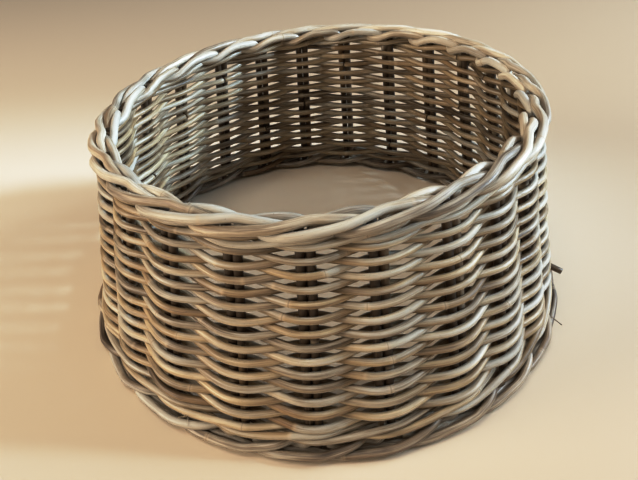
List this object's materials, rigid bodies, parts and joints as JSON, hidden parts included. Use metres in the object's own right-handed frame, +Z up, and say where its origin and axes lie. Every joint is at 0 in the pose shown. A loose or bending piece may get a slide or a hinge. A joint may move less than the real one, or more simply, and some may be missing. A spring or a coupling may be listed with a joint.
{
  "type": "wicker pet bed basket",
  "caption": "Round bottomless rattan basket ring, narrower at the top, with rolled borders at rim and foot, for ringing a pet's cushion.",
  "frame": {"origin": "on the floor, at the middle of the foot ring", "axes": "+Z up out of the open top, -Y towards the front, +X to the right seen from the front, which is the high side of the rim"},
  "size_m": [0.5781, 0.5804, 0.2553],
  "materials": {
    "stake_cane": "satin",
    "weaver_cane": "satin",
    "wale_cane": "satin"
  },
  "bodies": {
    "root": {"stake_pair_01": "stake_cane", "stake_pair_02": "stake_cane", "stake_pair_03": "stake_cane", "stake_pair_04": "stake_cane", "stake_pair_05": "stake_cane", "stake_pair_06": "stake_cane", "stake_pair_07": "stake_cane", "stake_pair_08": "stake_cane", "stake_pair_09": "stake_cane", "stake_pair_10": "stake_cane", "stake_pair_11": "stake_cane", "stake_pair_12": "stake_cane", "stake_pair_13": "stake_cane", "stake_pair_14": "stake_cane", "stake_pair_15": "stake_cane", "stake_pair_16": "stake_cane", "stake_pair_17": "stake_cane", "stake_pair_18": "stake_cane", "stake_pair_19": "stake_cane", "stake_pair_20": "stake_cane", "stake_pair_21": "stake_cane", "stake_pair_22": "stake_cane", "stake_pair_23": "stake_cane", "stake_pair_24": "stake_cane", "weaver_01_a": "weaver_cane", "weaver_01_b": "weaver_cane", "weaver_02_a": "weaver_cane", "weaver_02_b": "weaver_cane", "weaver_03_a": "weaver_cane", "weaver_03_b": "weaver_cane", "weaver_04_a": "weaver_cane", "weaver_04_b": "weaver_cane", "weaver_05_a": "weaver_cane", "weaver_05_b": "weaver_cane", "weaver_06_a": "weaver_cane", "weaver_06_b": "weaver_cane", "weaver_07_a": "weaver_cane", "weaver_07_b": "weaver_cane", "weaver_08_a": "weaver_cane", "weaver_08_b": "weaver_cane", "weaver_09_a": "weaver_cane", "weaver_09_b": "weaver_cane", "weaver_10_a": "weaver_cane", "weaver_10_b": "weaver_cane", "weaver_11_a": "weaver_cane", "weaver_11_b": "weaver_cane", "weaver_12_a": "weaver_cane", "weaver_12_b": "weaver_cane", "weaver_13_a": "weaver_cane", "weaver_13_b": "weaver_cane", "foot_wale_a": "wale_cane", "foot_wale_b": "wale_cane", "foot_wale_c": "wale_cane", "rim_wale_a": "wale_cane", "rim_wale_b": "wale_cane", "rim_wale_c": "wale_cane"}
  },
  "joints": []
}
